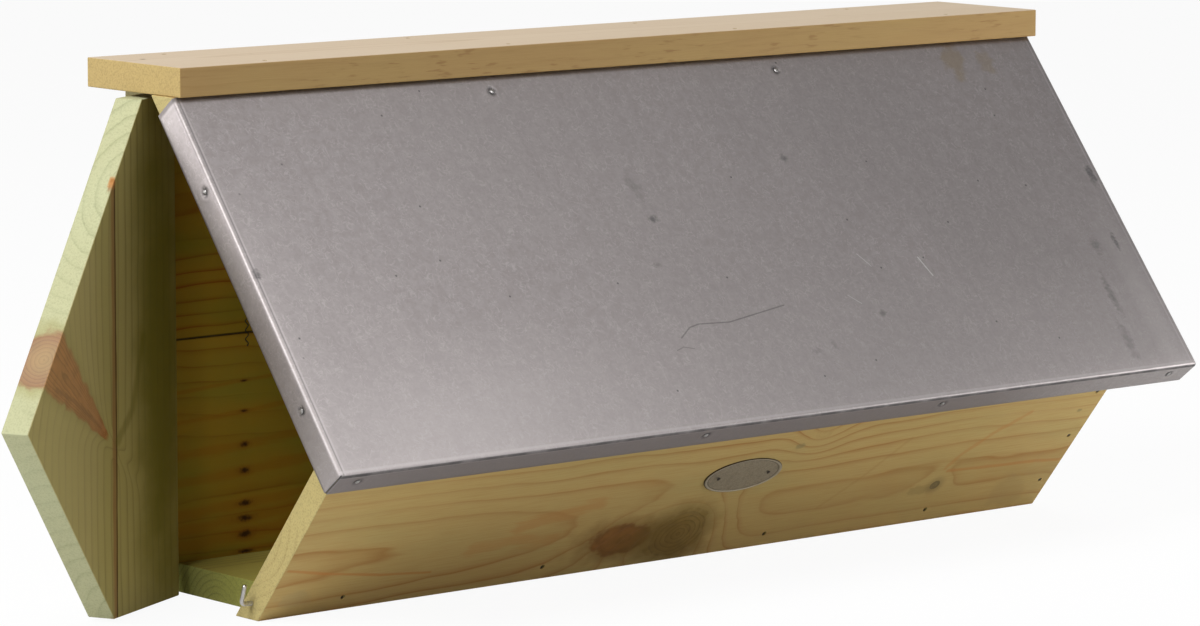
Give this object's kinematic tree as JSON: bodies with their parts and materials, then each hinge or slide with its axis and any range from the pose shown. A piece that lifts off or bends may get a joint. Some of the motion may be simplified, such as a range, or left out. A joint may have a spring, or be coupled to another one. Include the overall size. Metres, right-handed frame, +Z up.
{
  "type": "swift nest box",
  "caption": "Long wall-hung nest box for swifts, with a zinc-covered sloping roof, a bottom entrance slot and a hinged end door held by a turn hook.",
  "frame": {"origin": "midway between the two wall screw holes, on the back face", "axes": "+X along the box, away from the door; +Y out of the back face, towards the wall; +Z up"},
  "size_m": [0.85, 0.2563, 0.332],
  "materials": {
    "planed_pine": "planed softwood, yellow with a faint green tint",
    "treated_pine": "green pressure-treated softwood",
    "zinc_sheet": "dull grey zinc sheet with handling marks",
    "steel_fittings": "bright zinc-plated steel",
    "badge_metal": "dull grey stamped metal",
    "nail_steel": "dark steel"
  },
  "bodies": {
    "box": {"ridge_board": "planed_pine", "roof_board": "planed_pine", "roof_sheet": "zinc_sheet", "front_board": "planed_pine", "floor_board": "treated_pine", "back_board_upper": "treated_pine", "back_board_lower": "treated_pine", "end_panel": "treated_pine", "hinge_upper_box_leaf": "steel_fittings", "hinge_upper_pin": "steel_fittings", "hinge_lower_box_leaf": "steel_fittings", "hinge_lower_pin": "steel_fittings", "hinge_box_screws": "steel_fittings", "badge_plate": "badge_metal", "badge_pins": "nail_steel", "ridge_nails": "nail_steel", "roof_nails": "nail_steel", "front_nails": "nail_steel", "back_nails": "nail_steel", "sheet_pins": "steel_fittings", "joint_fasteners": "nail_steel"},
    "door": {"door_panel": "treated_pine", "hinge_upper_door_leaf": "steel_fittings", "hinge_lower_door_leaf": "steel_fittings", "hinge_door_screws": "steel_fittings"},
    "hook": {"turn_hook": "steel_fittings"}
  },
  "joints": [
    {"name": "door_hinge", "type": "hinge", "parent": "box", "child": "door", "pos_m": [-0.32752, -0.0245, -0.093], "axis": [0, 0, -1], "range_deg": [-63, 32]},
    {"name": "hook_turn", "type": "hinge", "parent": "box", "child": "hook", "pos_m": [-0.325, -0.12733, -0.2395], "axis": [-1, 0, 0], "range_deg": [-20, 90]}
  ]
}
